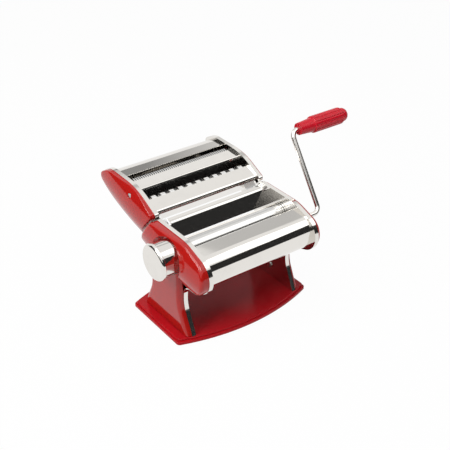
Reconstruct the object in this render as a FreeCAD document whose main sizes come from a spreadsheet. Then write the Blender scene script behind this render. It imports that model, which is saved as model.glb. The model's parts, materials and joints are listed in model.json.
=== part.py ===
import FreeCAD, Part
import Sketcher
import math
import os

# Hand-cranked pasta roller machine with a lift-off cutter head.
# Frame: X to the crank side, Y to the back, Z up, origin on the table under the middle of the base.

SIZES = [
    # base
    ("base_width", 200.0), ("base_side", 100.0), ("base_bow", 18.5), ("base_top", 8.0), ("base_bottom", 1.2),
    ("base_step", 2.0), ("base_lip", 5.0), ("base_corner", 5.0), ("base_round", 1.0), ("foot_radius", 8.0),
    ("foot_sink", 1.5), ("foot_inset_x", 13.0), ("foot_inset_y", 8.0), ("screw_radius", 1.8),
    ("screw_head_radius", 3.4), ("screw_head_height", 1.6), ("base_screw_y", 32.0),
    ("base_screw_length", 9.5), ("cut_over", 1.0),
    # side plates, pressed with an outward rim
    ("plate_gap", 151.0), ("plate_sheet", 1.5), ("rim_width", 5.5), ("rim_wall", 1.5),
    ("top_z", 138.5), ("rear_top_y", 17.5), ("slope", 51.7), ("rear_edge", 43.6), ("top_break_y", -46.0),
    ("nose_apex_y", -142.0), ("nose_apex_z", 107.0), ("nose_radius", 24.3), ("top_break_radius", 60.0),
    ("crook_front_y", -38.0), ("crook_front_z", 70.7), ("waist_front_y", -36.5), ("waist_rear_y", 27.0),
    ("waist_z", 46.0), ("toe_front_y", -53.5), ("toe_rear_y", 45.0), ("crook_rear_y", 26.0),
    ("crook_rear_z", 90.0), ("crook_radius", 14.0), ("waist_radius", 40.0), ("rim_corner", 4.0),
    # side covers
    ("reveal", 0.8), ("lens_depth", 15.0), ("leg_depth", 7.0), ("cavity_depth", 4.3), ("cover_wall", 2.4),
    ("lens_round", 4.5), ("leg_round", 6.0), ("cover_corner", 6.0), ("lens_chin_y", -56.0),
    ("lens_rise_y", -41.0), ("lens_under_gap", 2.1), ("dish_gap", 1.2), ("dish_flare", 6.0),
    ("cover_boss_radius", 4.5), ("cover_screw_z", 25.5), ("cover_screw_y", -7.0), ("cover_screw_length", 9.0),
    ("skin", 1.0), ("bearing_height", 1.4), ("lens_dome", 45.0), ("lens_lean", 8.8), ("lens_mid_y", -17.5),
    ("lens_mid_z", 113.5), ("dome_bow", 700.0), ("dome_pitch", 9.0), ("dome_half", 118.0),
    ("dome_over", 12.0), ("dome_wall", 5.0), ("right_reveal", 1.6), ("right_depth", 6.5),
    ("right_leg_depth", 5.5), ("right_round", 6.0), ("right_leg_round", 4.5), ("right_corner", 6.5),
    # chrome sheets of the body
    ("sheet", 1.0), ("front_lip_y", -52.0), ("front_lip_z", 131.8), ("front_brow_y", -85.5),
    ("front_brow_z", 126.0), ("front_brow_radius", 19.0), ("front_chin_y", -84.0), ("front_chin_z", 96.0),
    ("front_chin_radius", 22.0), ("front_end_y", -66.5), ("front_end_z", 81.3),
    ("feed_top_z", 136.6), ("feed_knee_y", 6.0), ("feed_lip_y", 14.0), ("feed_room", 5.9),
    ("feed_foot_z", 117.8), ("feed_notch", 7.0), ("feed_notch_y", 2.0), ("feed_cut", 4.0),
    ("feed_knee_radius", 5.0), ("tie_radius", 3.0),
    ("tie_front_y", -71.0), ("tie_front_z", 99.0), ("tie_rear_y", 20.0), ("tie_rear_z", 103.0),
    ("scraper_drop", 12.0), ("scraper_gap", 0.5), ("scraper_lean", 34.0),
    # rollers and their gears
    ("roller_radius", 12.9), ("roller_gap", 0.5), ("front_y", -50.5), ("roller_z", 111.7), ("nip", 0.3),
    ("throw", 1.5), ("turn_range", 120.0), ("mark_inset", 3.0), ("mark_width", 0.8), ("mark_depth", 1.5),
    ("front_journal", 6.0), ("journal", 4.4), ("shaft_radius", 6.0), ("bush_wall", 2.0), ("run", 0.05),
    ("end_gap", 0.1), ("bush_gap", 0.2), ("bush_stand", 0.3), ("throat_gap", 0.5), ("shaft_end_gap", 2.0),
    ("neck_room", 1.2), ("shaft_room", 0.5),
    ("bush_length", 20.0), ("bush_inset", 5.0), ("neck_wall", 2.0), ("neck_gap", 0.4),
    ("plate_bush_radius", 8.5), ("shaft_bush_radius", 7.0), ("gear_gap", 0.7), ("gear_face", 5.2),
    ("gear_addendum", 2.55), ("gear_dedendum", 3.05), ("gear_tooth_tip", 1.5), ("gear_tooth_root", 3.6),
    ("gear_teeth", 11), ("socket_radius", 2.65), ("socket_depth", 16.0), ("socket_room", 1.0),
    ("slot_width", 1.6), ("slot_length", 9.0), ("slot_depth", 4.2),
    ("drive_stand", 4.0),
    # crank
    ("rod_radius", 3.2), ("crank_stand", 36.0), ("crank_arm", 106.8), ("crank_lean", 33.9),
    ("crank_bend", 9.0), ("crank_hole_radius", 4.2), ("grip_start", 11.0), ("grip_nose", 22.0),
    ("grip_body", 48.0), ("grip_cap", 10.0), ("grip_radius", 11.0), ("nose_small", 7.8), ("nose_large", 9.3),
    ("cap_radius", 9.0), ("flute_radius", 1.7), ("flute_count", 14), ("flute_sink", 0.6),
    ("grip_round", 2.0), ("nose_round", 0.5), ("nose_step", 1.0), ("grip_cap_round", 6.5),
    # thickness knob
    ("knob_radius", 23.5), ("knob_stand", 33.0), ("knob_disc", 5.0), ("knob_round", 4.2), ("knob_edge", 0.5),
    ("barrel_radius", 22.0), ("barrel_round", 1.0), ("knob_gap", 0.4), ("web_stand", 10.0),
    ("web_sheet", 4.0),
    ("knob_cavity_radius", 9.5), ("knob_square", 6.0), ("collar_radius", 7.0), ("collar_stand", 24.5),
    ("collar_length", 2.5),
    ("spring_radius", 6.6), ("spring_wall", 1.2), ("pin_radius", 2.0), ("pin_ring", 12.0),
    ("pin_reach", 1.2),
    ("index_radius", 15.8), ("index_sheet", 1.5), ("index_notches", 7), ("knob_hole_radius", 16.0),
    # cutter head
    ("head_gap", 2.0), ("head_rise", 2.5), ("head_top_y", 60.0), ("head_top_z", 162.4),
    ("head_crown_y", 122.0),
    ("head_crown_z", 163.0), ("head_tail_y", 147.0), ("head_tail_z", 148.5), ("head_belly_y", 108.0),
    ("head_belly_z", 125.5), ("head_drop", 1.5), ("head_top_radius", 90.0), ("head_crown_radius", 35.0),
    ("head_tail_radius", 9.0), ("head_belly_radius", 25.0), ("head_corner", 3.5), ("cap_depth", 10.5),
    ("cap_cavity", 2.0), ("cap_wall", 4.0), ("cap_round", 1.5), ("cap_corner", 4.5), ("cap_dome", 42.0),
    ("cap_lean", 12.6), ("cap_mid_y", 62.0), ("cap_mid_z", 134.6), ("cap_seat", 5.8), ("cap_screw_y", 65.5),
    ("cap_screw_z", 151.0),
    ("cap_screw_radius", 3.0), ("cap_screw_head", 1.4), ("right_cap_reveal", 1.2), ("right_cap_depth", 3.5),
    ("right_cap_round", 3.2), ("right_cap_cavity", 0.8), ("right_cap_seat", 1.9), ("head_inset", 4.0),
    ("rear_sheet_y", 97.3), ("rear_sheet_z", 159.6), ("rear_end_y", 112.0), ("rear_end_z", 131.5),
    ("mid_front_y", 61.5), ("mid_front_z", 157.6), ("mid_rear_y", 81.2), ("mid_rear_z", 158.6),
    ("mid_lip", 3.0),
    ("mid_lip_lean", 0.75), ("mid_lip_radius", 1.5), ("front_sheet_y", 43.0), ("front_sheet_z", 150.89),
    ("front_sheet_drop", 27.0), ("front_knee_radius", 4.0), ("head_tie_radius", 2.5), ("tie_1_y", 35.0),
    ("tie_1_z", 132.5), ("tie_2_y", 74.6), ("tie_2_z", 126.4), ("tie_3_y", 127.6), ("tie_3_z", 146.2),
    # cutters and combs
    ("fine_y", 86.5), ("fine_top", 158.5), ("wide_y", 48.5), ("wide_top", 150.5), ("cutter_span", 16.2),
    ("cutter_tilt", 36.0),
    ("cutter_radius", 9.0), ("cutter_room", 1.2), ("cutter_gap", 0.7), ("cutter_journal", 4.0),
    ("fine_pitch", 3.0), ("fine_land", 1.4), ("cutter_margin", 6.4), ("wide_pitch", 13.0), ("wide_land", 6.4),
    ("cutter_bush_radius", 6.2), ("cutter_addendum", 1.3), ("cutter_dedendum", 1.8),
    ("cutter_tooth_tip", 1.0), ("cutter_tooth_root", 2.3), ("cutter_gear_teeth", 12),
    ("cutter_gear_face", 3.0),
    ("cutter_socket_radius", 5.4),
    ("cutter_bore_depth", 14.0), ("socket_stand", 3.0), ("socket_hole_radius", 6.0),
    ("comb_gap", 0.6), ("comb_bar", 4.0), ("comb_sheet", 1.2), ("comb_side", 0.35),
    # guides and hooks that carry the head
    ("guide_low", -32.0), ("guide_floor", 2.0), ("guide_high", -6.0), ("guide_front", -9.0),
    ("guide_rear", -1.0),
    ("guide_wall", 2.2), ("slide_gap", 0.3), ("hook_front", -6.5), ("hook_rear", -3.2), ("hook_width", 6.6),
    ("hook_web", 2.4),
]

DOC = FreeCAD.newDocument("pasta_roller_machine")
SHEET = DOC.addObject("Spreadsheet::Sheet", "sizes")


class Size:
    """A number together with the sheet expression that drives it."""

    def __init__(self, value, text):
        self.value = float(value)
        self.text = text

    def _with(self, other, sign, flip=False):
        other = size(other)
        first, second = (other, self) if flip else (self, other)
        left, right = first.value, second.value
        value = {"+": left + right, "-": left - right, "*": left * right, "/": left / (right or 1)}[sign]
        return Size(value, f"({first.text} {sign} {second.text})")

    def __add__(self, other):
        return self._with(other, "+")

    def __radd__(self, other):
        return self._with(other, "+", True)

    def __sub__(self, other):
        return self._with(other, "-")

    def __rsub__(self, other):
        return self._with(other, "-", True)

    def __mul__(self, other):
        return self._with(other, "*")

    def __rmul__(self, other):
        return self._with(other, "*", True)

    def __truediv__(self, other):
        return self._with(other, "/")

    def __rtruediv__(self, other):
        return self._with(other, "/", True)

    def __neg__(self):
        return Size(-self.value, f"(-1 * {self.text})")


def size(number):
    """A plain number as a Size."""
    return number if isinstance(number, Size) else Size(number, f"({number:.9f})")


def cosine(degrees):
    degrees = size(degrees)
    return Size(math.cos(math.radians(degrees.value)), f"cos({degrees.text} * 1deg)")


def sine(degrees):
    degrees = size(degrees)
    return Size(math.sin(math.radians(degrees.value)), f"sin({degrees.text} * 1deg)")


def whole(number):
    return Size(math.floor(number.value), f"floor({number.text})")


class Sheet:
    """The driving sizes by name, each bound to its cell."""


s = Sheet()
for row, (alias, value) in enumerate(SIZES, 1):
    SHEET.set(f"A{row}", alias)
    SHEET.set(f"B{row}", str(value))
    SHEET.setAlias(f"B{row}", alias)
    setattr(s, alias, Size(value, f"sizes.{alias}"))
DOC.recompute()

# Levels across the machine, measured outwards from its middle plane.
s.plate_in = s.plate_gap / 2
s.plate_out = s.plate_in + s.plate_sheet
s.rim_out = s.plate_in + s.rim_width
s.floor_in = s.rim_out + s.cavity_depth
s.leg_out = s.rim_out + s.leg_depth
s.lens_out = s.rim_out + s.lens_depth
s.cap_out = s.rim_out + s.cap_depth
s.cap_floor = s.rim_out + s.cap_cavity
s.cap_seat_x = s.rim_out + s.cap_seat
s.right_cap_out = s.rim_out + s.right_cap_depth
s.right_cap_floor = s.rim_out + s.right_cap_cavity
s.right_cap_seat_x = s.rim_out + s.right_cap_seat
s.right_out = s.rim_out + s.right_depth
s.right_leg_out = s.rim_out + s.right_leg_depth
s.foot_x = s.base_width / 2 - s.foot_inset_x
s.foot_y = s.base_side / 2 - s.foot_inset_y
s.roller_half = s.plate_in - s.roller_gap
s.mark_x = s.roller_half - s.mark_inset
s.bush_far_x = s.roller_half - s.bush_inset
s.bush_near_x = s.bush_far_x - s.bush_length
s.gear_start = s.plate_out + s.gear_gap
s.drive_end_x = s.rim_out + s.drive_stand
s.crank_x = s.rim_out + s.crank_stand
s.knob_face_x = s.rim_out + s.knob_stand
s.dish_radius = s.barrel_radius + s.dish_gap
s.dish_mouth = s.dish_radius + s.dish_flare
s.web_start_x = s.rim_out + s.web_stand
s.web_end_x = s.web_start_x + s.web_sheet
s.collar_x = s.rim_out + s.collar_stand
s.pin_end_x = s.floor_in - s.index_sheet - s.pin_reach
s.cutter_half = s.plate_in - s.cutter_gap
s.cutter_end_x = s.rim_out + s.socket_stand

# The rear roller runs on an eccentric shaft, which half its range turns to either side of upright.
s.half_turn = s.turn_range / 2
s.shaft_y = s.front_y + 2 * s.roller_radius + s.nip + s.throw * sine(s.half_turn)
s.shaft_z = s.roller_z - s.throw * cosine(s.half_turn)
s.rear_y = s.shaft_y + s.throw * sine(s.half_turn)
s.bush_radius = s.shaft_radius + s.bush_wall
s.neck_bore = s.shaft_radius + s.neck_gap
s.neck_radius = s.neck_bore + s.neck_wall
s.gear_pitch = s.roller_radius + s.nip / 2
s.gear_tip = s.gear_pitch + s.gear_addendum
s.gear_root = s.gear_pitch - s.gear_dedendum
s.lens_under_z = s.roller_z - s.gear_tip - s.lens_under_gap
s.feed_foot_y = s.front_y + 3 * s.roller_radius + s.nip + s.feed_room

# Two cutters of a pair mesh by their lands, and as many lands stand on each as its length takes.
s.cutter_core = s.cutter_span - s.cutter_radius - s.cutter_room
s.fine_z = s.fine_top - s.cutter_radius
s.wide_z = s.wide_top - s.cutter_radius
s.cutter_gear_tip = s.cutter_span / 2 + s.cutter_addendum
s.cutter_gear_root = s.cutter_span / 2 - s.cutter_dedendum
s.fine_count = whole((2 * s.cutter_half - s.cutter_margin) / s.fine_pitch)
s.wide_count = whole((2 * s.cutter_half - s.cutter_margin) / s.wide_pitch)

# The rear edge of the body leans, and the cutter head sits along it.
s.rear_low_y = s.rear_top_y + s.rear_edge * cosine(s.slope)
s.rear_low_z = s.top_z - s.rear_edge * sine(s.slope)

PARTS = {}


def new_body(label, y=None, z=None, lean=None):
    """A body for one sub-part, placed at (0, y, z) and leaned about X."""
    body = DOC.addObject("PartDesign::Body", label)
    body.Label = label
    body.AllowCompound = True
    if lean is not None:
        body.Placement = FreeCAD.Placement(FreeCAD.Vector(), FreeCAD.Rotation(FreeCAD.Vector(1, 0, 0), 1))
        body.setExpression("Placement.Rotation.Angle", f"{lean.text} * 1deg")
    for axis, place in (("y", y), ("z", z)):
        if place is not None:
            body.setExpression(f"Placement.Base.{axis}", place.text)
    PARTS[label] = body
    return body


def new_sketch(body, plane="YZ", offset=None):
    """A sketch on one of the body's own planes, moved along its normal."""
    sketch = body.newObject("Sketcher::SketchObject", f"{body.Name}_sketch")
    support = [item for item in body.Origin.OriginFeatures if item.Role == f"{plane}_Plane"]
    sketch.AttachmentSupport = [(support[0], "")]
    sketch.MapMode = "FlatFace"
    if offset is not None:
        offset = size(offset)
        sketch.AttachmentOffset = FreeCAD.Placement(FreeCAD.Vector(0, 0, offset.value), FreeCAD.Rotation())
        sketch.setExpression("AttachmentOffset.Base.z", offset.text)
    return sketch


def bind(sketch, kind, *items):
    """Adds a constraint whose last item is a Size and binds it to the sheet."""
    *where, amount = items
    index = sketch.addConstraint(Sketcher.Constraint(kind, *where, amount.value))
    sketch.setExpression(f"Constraints[{index}]", amount.text)


def pin(sketch, geometry, point, across, up):
    """Holds a point of a sketch at its distances from the sketch's origin."""
    bind(sketch, "DistanceX", -1, 1, geometry, point, size(across))
    bind(sketch, "DistanceY", -1, 1, geometry, point, size(up))


def circle(sketch, across, up, radius):
    across, up, radius = size(across), size(up), size(radius)
    centre = FreeCAD.Vector(across.value, up.value, 0)
    index = sketch.addGeometry(Part.Circle(centre, FreeCAD.Vector(0, 0, 1), radius.value))
    pin(sketch, index, 3, across, up)
    bind(sketch, "Radius", index, radius)


def corner_turn(before, here, after):
    """Unit directions into and out of a corner, and the sine of its turn."""
    into = (here - before).normalize()
    out = (after - here).normalize()
    return into, out, into.x * out.y - into.y * out.x


def outline(sketch, corners):
    """A closed outline through corners (across, up) or (across, up, radius), rounded by tangent arcs."""
    corners = [tuple(size(item) for item in corner) for corner in corners]
    spots = [FreeCAD.Vector(corner[0].value, corner[1].value, 0) for corner in corners]
    count = len(corners)
    ends = []
    for i, corner in enumerate(corners):
        into, out, turn = corner_turn(spots[i - 1], spots[i], spots[(i + 1) % count])
        if len(corner) == 2:
            ends.append((spots[i], spots[i], None))
            continue
        radius = corner[2].value
        reach = radius * math.tan(math.acos(max(-1, min(1, into.dot(out)))) / 2)
        start, stop = spots[i] - into * reach, spots[i] + out * reach
        side = 1 if turn > 0 else -1
        centre = start + FreeCAD.Vector(-into.y, into.x, 0) * (radius * side)
        first, last = (start, stop) if turn > 0 else (stop, start)
        angles = [math.atan2(spot.y - centre.y, spot.x - centre.x) for spot in (first, last)]
        ring = Part.Circle(centre, FreeCAD.Vector(0, 0, 1), radius)
        ends.append((start, stop, (sketch.addGeometry(Part.ArcOfCircle(ring, *angles)), side)))
    lines = [sketch.addGeometry(Part.LineSegment(ends[i - 1][1], ends[i][0])) for i in range(count)]
    for i, corner in enumerate(corners):
        arriving, leaving, arc = lines[i], lines[(i + 1) % count], ends[i][2]
        if arc is None:
            sketch.addConstraint(Sketcher.Constraint("Coincident", arriving, 2, leaving, 1))
            pin(sketch, arriving, 2, corner[0], corner[1])
            continue
        index, side = arc
        near, far = (1, 2) if side > 0 else (2, 1)
        sketch.addConstraint(Sketcher.Constraint("Tangent", arriving, 2, index, near))
        sketch.addConstraint(Sketcher.Constraint("Tangent", leaving, 1, index, far))
        bind(sketch, "Radius", index, corner[2])
        peak = sketch.addGeometry(Part.Point(spots[i]), True)
        pin(sketch, peak, 1, corner[0], corner[1])
        sketch.addConstraint(Sketcher.Constraint("PointOnObject", peak, 1, arriving))
        sketch.addConstraint(Sketcher.Constraint("PointOnObject", peak, 1, leaving))


def shifted(corners, amount, closed=True, least=None):
    """Corners moved sideways, to the left of the way round, with the rounding kept parallel."""
    amount = size(amount)
    corners = [tuple(size(item) for item in corner) for corner in corners]
    spots = [FreeCAD.Vector(corner[0].value, corner[1].value, 0) for corner in corners]
    count, moved = len(corners), []
    for i, corner in enumerate(corners):
        inner = closed or 0 < i < count - 1
        before = spots[i - 1] if inner or i else spots[i] * 2 - spots[i + 1]
        after = spots[(i + 1) % count] if inner or i == 0 else spots[i] * 2 - spots[i - 1]
        into, out, turn = corner_turn(before, spots[i], after)
        middle = FreeCAD.Vector(-into.y - out.y, into.x + out.x, 0).normalize()
        slant = 1 / (middle.x * -into.y + middle.y * into.x)
        place = [corner[0] + amount * (middle.x * slant), corner[1] + amount * (middle.y * slant)]
        if len(corner) > 2:
            radius = corner[2] - amount if turn > 0 else corner[2] + amount
            wide_enough = least is None or turn * amount.value < 0 or radius.value >= least.value
            place.append(radius if wide_enough else least)
        moved.append(tuple(place))
    return moved


def strip(corners, thickness):
    """The closed outline of a sheet whose one face follows the corners, thickened to the left."""
    return list(corners) + shifted(corners, thickness, closed=False)[::-1]


def feature(body, kind, sketch, length, backwards):
    made = body.newObject(f"PartDesign::{kind}", f"{body.Name}_{kind.lower()}")
    made.Profile = sketch
    made.setExpression("Length", size(length).text)
    made.Reversed = backwards
    return made


def pad(body, near, far, draw, side=1, plane="YZ"):
    """Pads what draw puts on a sketch from one level to another, outwards on that side."""
    sketch = new_sketch(body, plane, size(near) * side)
    draw(sketch)
    return feature(body, "Pad", sketch, size(far) - near, side < 0)


def pocket(body, near, far, draw, side=1, plane="YZ"):
    """Cuts what draw puts on a sketch out of the body between two levels on that side."""
    sketch = new_sketch(body, plane, size(near) * side)
    draw(sketch)
    return feature(body, "Pocket", sketch, size(far) - near, side > 0)


def revolve(body, corners, kind="Revolution"):
    """Turns an outline of (along X, radius) about the body's X axis, to add or to cut."""
    sketch = new_sketch(body, "XZ")
    outline(sketch, corners)
    made = body.newObject(f"PartDesign::{kind}", f"{body.Name}_{kind.lower()}")
    made.Profile = sketch
    made.ReferenceAxis = (sketch, ["H_Axis"])
    made.Angle = 360
    return made


def ring_pattern(body, original, count):
    """Repeats a feature round the body's X axis."""
    made = body.newObject("PartDesign::PolarPattern", f"{body.Name}_ring")
    made.Originals = [original]
    made.Axis = (original.Profile[0], ["N_Axis"])
    made.Angle = 360
    made.setExpression("Occurrences", count.text)
    body.Tip = made
    return made


def row_pattern(body, original, pitch, count):
    """Repeats a feature in a row along X."""
    made = body.newObject("PartDesign::LinearPattern", f"{body.Name}_row")
    made.Originals = [original]
    made.Direction = (original.Profile[0], ["N_Axis"])
    made.setExpression("Length", (pitch * (count - 1)).text)
    made.setExpression("Occurrences", count.text)
    body.Tip = made
    return made


def fillet(body, picked, radius):
    """Rounds the edges of the body's last shape that are picked."""
    DOC.recompute()
    base = body.Tip
    names = [f"Edge{number}" for number, edge in enumerate(base.Shape.Edges, 1) if picked(base.Shape, edge)]
    made = body.newObject("PartDesign::Fillet", f"{body.Name}_round")
    made.Base = (base, names)
    made.setExpression("Radius", radius.text)


def in_plane(level, below=None):
    """Picks edges in one plane across X, or only those that rise from below a height."""
    near = 1e-4

    def picked(_, edge):
        box = edge.BoundBox
        flat = abs(box.XMin - level.value) < near and abs(box.XMax - level.value) < near
        return flat and (below is None or (box.ZLength > near and box.ZMin < below.value))
    return picked


def rising(low, high):
    """Picks edges that reach from one height to another, or that lie at one height."""
    near = 1e-4

    def picked(_, edge):
        box = edge.BoundBox
        return abs(box.ZMin - low.value) < near and abs(box.ZMax - high.value) < near
    return picked


def round_crest(shape, edge):
    """Picks the edges of the largest face that is neither flat nor cylindrical."""
    curved = [face for face in shape.Faces if not isinstance(face.Surface, (Part.Plane, Part.Cylinder))]
    crest = max(curved, key=lambda face: face.Area)
    return any(edge.isSame(own) for own in crest.Edges)


def groove(body, sketch, ends):
    """Cuts a sketch out all the way round a construction line between two spots."""
    line = Part.LineSegment(*[FreeCAD.Vector(across.value, up.value, 0) for across, up in ends])
    axis = sketch.addGeometry(line, True)
    for point, spot in enumerate(ends, 1):
        pin(sketch, axis, point, *spot)
    made = body.newObject("PartDesign::Groove", f"{body.Name}_groove")
    made.Profile = sketch
    made.ReferenceAxis = (sketch, ["Axis0"])
    made.Angle = 360


def dome(body, side, level, middle, lean, radius):
    """Makes the outer face round across a leaning line, and slightly bowed along it."""
    sketch = new_sketch(body, "YZ", (level - radius) * side)
    ahead, aside = cosine(lean), sine(lean)

    def at(along, out):
        return middle[0] + along * ahead - out * aside, middle[1] + along * aside + out * ahead

    half, high = s.dome_half, radius + s.dome_over
    peak = radius + s.dome_bow * (1 / cosine(s.dome_pitch) - 1)
    low = peak - half * sine(s.dome_pitch) / cosine(s.dome_pitch)
    outline(sketch, [at(-half, low), (*at(size(0), peak), s.dome_bow), at(half, low), at(half, high),
                     at(-half, high)])
    groove(body, sketch, [at(-half, size(0)), at(half, size(0))])


def round_hole(across, up, radius):
    return lambda sketch: circle(sketch, across, up, radius)


def closed(corners):
    return lambda sketch: outline(sketch, corners)


def ring_of(across, up, outer, inner):
    def draw(sketch):
        circle(sketch, across, up, outer)
        circle(sketch, across, up, inner)
    return draw


def block(width, height, across=0, up=0):
    """An upright rectangle about a middle point."""
    wide, high = size(width) / 2, size(height) / 2
    across, up = size(across), size(up)
    return closed([(across - wide, up - high), (across + wide, up - high),
                   (across + wide, up + high), (across - wide, up + high)])


# Outlines that several pieces share, each anticlockwise in (Y, Z).

def side_outline():
    return [(s.toe_front_y, s.base_top), (s.toe_rear_y, s.base_top),
            (s.waist_rear_y, s.waist_z, s.waist_radius), (s.crook_rear_y, s.crook_rear_z, s.crook_radius),
            (s.rear_low_y, s.rear_low_z, s.rim_corner), (s.rear_top_y, s.top_z, s.rim_corner),
            (s.top_break_y, s.top_z, s.top_break_radius), (s.nose_apex_y, s.nose_apex_z, s.nose_radius),
            (s.crook_front_y, s.crook_front_z, s.crook_radius), (s.waist_front_y, s.waist_z, s.waist_radius)]


def lens_outline():
    fall = (s.crook_front_z - s.nose_apex_z) / (s.crook_front_y - s.nose_apex_y)
    chin_z = s.nose_apex_z + (s.lens_chin_y - s.nose_apex_y) * fall
    return [(s.lens_chin_y, chin_z, s.cover_corner), (s.lens_rise_y, s.lens_under_z, s.crook_radius),
            (s.crook_rear_y, s.lens_under_z, s.crook_radius),
            (s.rear_low_y, s.rear_low_z, s.cover_corner), (s.rear_top_y, s.top_z, s.cover_corner),
            (s.top_break_y, s.top_z, s.top_break_radius), (s.nose_apex_y, s.nose_apex_z, s.nose_radius)]


def leg_outline():
    """The pillar, run up behind the lens so that the two hollows are one."""
    return [(s.toe_front_y, s.base_top), (s.toe_rear_y, s.base_top),
            (s.waist_rear_y, s.waist_z, s.waist_radius), (s.crook_rear_y, s.roller_z),
            (s.crook_front_y, s.roller_z),
            (s.waist_front_y, s.waist_z, s.waist_radius)]


def head_outline():
    rise_y = s.rear_top_y + s.head_gap * sine(s.slope)
    rise_z = s.top_z + s.head_gap * cosine(s.slope)
    fall = s.rear_edge + s.head_drop
    low = (rise_y + fall * cosine(s.slope), rise_z - fall * sine(s.slope), s.head_corner)
    high = (rise_y - s.head_rise * cosine(s.slope), rise_z + s.head_rise * sine(s.slope), s.head_corner)
    return [low, (s.head_belly_y, s.head_belly_z, s.head_belly_radius),
            (s.head_tail_y, s.head_tail_z, s.head_tail_radius),
            (s.head_crown_y, s.head_crown_z, s.head_crown_radius),
            (s.head_top_y, s.head_top_z, s.head_top_radius), high]


SIDES = (("left", -1), ("right", 1))


# Base and feet.

def bowed_plate(half, edge, bow):
    """Straight sides, and a front and back that are each one bowed arc."""
    def draw(sketch):
        chord, rise = half.value, bow.value
        radius = (half * half + bow * bow) / (2 * bow)
        left, right = FreeCAD.Vector(-chord, 0, 0), FreeCAD.Vector(chord, 0, 0)
        side = FreeCAD.Vector(0, edge.value, 0)
        top = FreeCAD.Vector(0, edge.value + rise, 0)
        back = sketch.addGeometry(Part.Arc(right + side, top, left + side))
        front = sketch.addGeometry(Part.Arc(left - side, -top, right - side))
        west = sketch.addGeometry(Part.LineSegment(left + side, left - side))
        east = sketch.addGeometry(Part.LineSegment(right - side, right + side))
        for one, other in ((back, west), (west, front), (front, east), (east, back)):
            sketch.addConstraint(Sketcher.Constraint("Coincident", one, 2, other, 1))
        pin(sketch, west, 1, -half, edge)
        pin(sketch, west, 2, -half, -edge)
        pin(sketch, east, 1, half, -edge)
        pin(sketch, east, 2, half, edge)
        bind(sketch, "Radius", back, radius)
        bind(sketch, "Radius", front, radius)
    return draw


def four_spots(across, up, radius):
    def draw(sketch):
        for x in (-across, across):
            for y in (-up, up):
                circle(sketch, x, y, radius)
    return draw


def make_base():
    half, edge = s.base_width / 2, s.base_side / 2
    body = new_body("base_plate")
    inner = bowed_plate(half - s.base_step, edge - s.base_step, s.base_bow)
    for low, high, draw in ((s.base_bottom, s.base_lip, bowed_plate(half, edge, s.base_bow)),
                            (s.base_lip, s.base_top, inner)):
        pad(body, low, high, draw, plane="XY")
        fillet(body, rising(low, high), s.base_corner)
        fillet(body, rising(high, high), s.base_round)
    seat = s.base_bottom + s.foot_sink
    pocket(body, s.base_bottom, seat, four_spots(s.foot_x, s.foot_y, s.foot_radius), plane="XY")
    screw_x = s.plate_out + (s.rim_out - s.plate_out) / 2
    holes = four_spots(screw_x, s.base_screw_y, s.screw_radius + s.run)
    pocket(body, s.base_bottom, s.base_top, holes, plane="XY")
    heads = four_spots(screw_x, s.base_screw_y, s.screw_head_radius + s.run)
    pocket(body, s.base_bottom, s.base_bottom + s.screw_head_height, heads, plane="XY")
    feet = new_body("rubber_feet")
    pad(feet, 0, seat, four_spots(s.foot_x, s.foot_y, s.foot_radius - s.run), plane="XY")
    screws = new_body("base_screws")
    head_top = s.base_bottom + s.screw_head_height
    pad(screws, s.base_bottom, head_top, four_spots(screw_x, s.base_screw_y, s.screw_head_radius), plane="XY")
    shank = four_spots(screw_x, s.base_screw_y, s.screw_radius)
    pad(screws, head_top, head_top + s.base_screw_length, shank, plane="XY")


# Side plates and covers.

def make_side_plate(name, side):
    body = new_body(f"{name}_side_plate")
    pad(body, s.plate_in, s.rim_out, closed(side_outline()), side)
    pocket(body, s.plate_out, s.rim_out + s.cut_over, closed(shifted(side_outline(), s.rim_wall)), side)
    shaft_hole = s.neck_radius + s.throw + s.neck_room if side > 0 else s.shaft_bush_radius
    pocket(body, s.plate_in, s.plate_out, round_hole(s.front_y, s.roller_z, s.plate_bush_radius), side)
    pocket(body, s.plate_in, s.plate_out, round_hole(s.shaft_y, s.shaft_z, shaft_hole), side)
    screw_hole = round_hole(s.cover_screw_y, s.cover_screw_z, s.screw_radius + s.run)
    pocket(body, s.plate_in, s.plate_out, screw_hole, side)
    screw_x = (s.plate_out + (s.rim_out - s.plate_out) / 2) * side

    def screw_holes(sketch):
        for y in (-s.base_screw_y, s.base_screw_y):
            circle(sketch, screw_x, y, s.screw_radius + s.run)

    pocket(body, s.base_top, s.base_top + s.rim_wall, screw_holes, plane="XY")


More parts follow.
